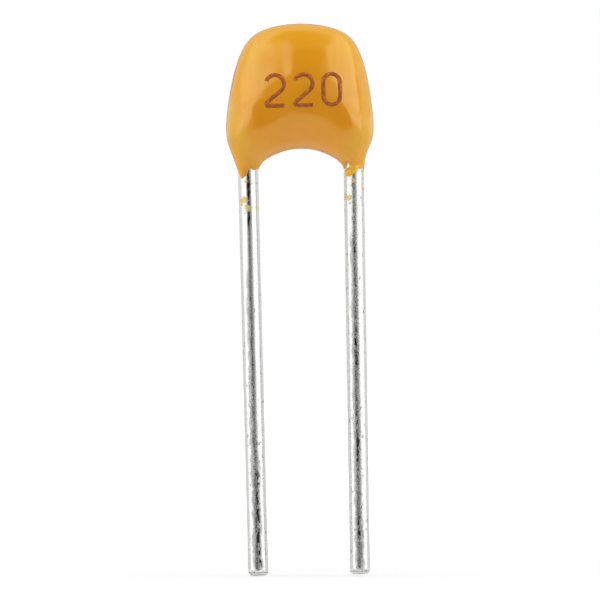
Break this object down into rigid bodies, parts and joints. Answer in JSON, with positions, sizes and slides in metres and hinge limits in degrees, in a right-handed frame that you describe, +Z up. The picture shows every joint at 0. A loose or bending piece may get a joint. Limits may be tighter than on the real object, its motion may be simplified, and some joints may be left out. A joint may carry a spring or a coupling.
{
  "type": "ceramic capacitor",
  "caption": "Radial-lead multilayer ceramic capacitor: a glossy orange dipped epoxy body with an arched underside over two straight tinned wire leads that solder into a board.",
  "frame": {"origin": "midway between the two leads, at the height where the coating ends and the bare leads begin, which is where the part seats on a board", "axes": "+Z up out of the board through the body, +X to the right seen from the printed front, +Y to the back"},
  "size_m": [0.0037, 0.0022, 0.0138],
  "materials": {
    "epoxy": "glossy dipped epoxy, orange-yellow, with a printed value code",
    "ceramic": "fired, unglazed",
    "electrode": "thin printed metal film",
    "termination": "fired silver, matt",
    "solder": "bright solder",
    "lead": "tinned drawn wire, satin, slightly mottled"
  },
  "bodies": {
    "root": {"epoxy_coating": "epoxy", "ceramic_block": "ceramic", "electrode_1": "electrode", "electrode_2": "electrode", "electrode_3": "electrode", "electrode_4": "electrode", "electrode_5": "electrode", "electrode_6": "electrode", "electrode_7": "electrode", "termination_left": "termination", "solder_left": "solder", "lead_left": "lead", "termination_right": "termination", "solder_right": "solder", "lead_right": "lead"}
  },
  "joints": []
}
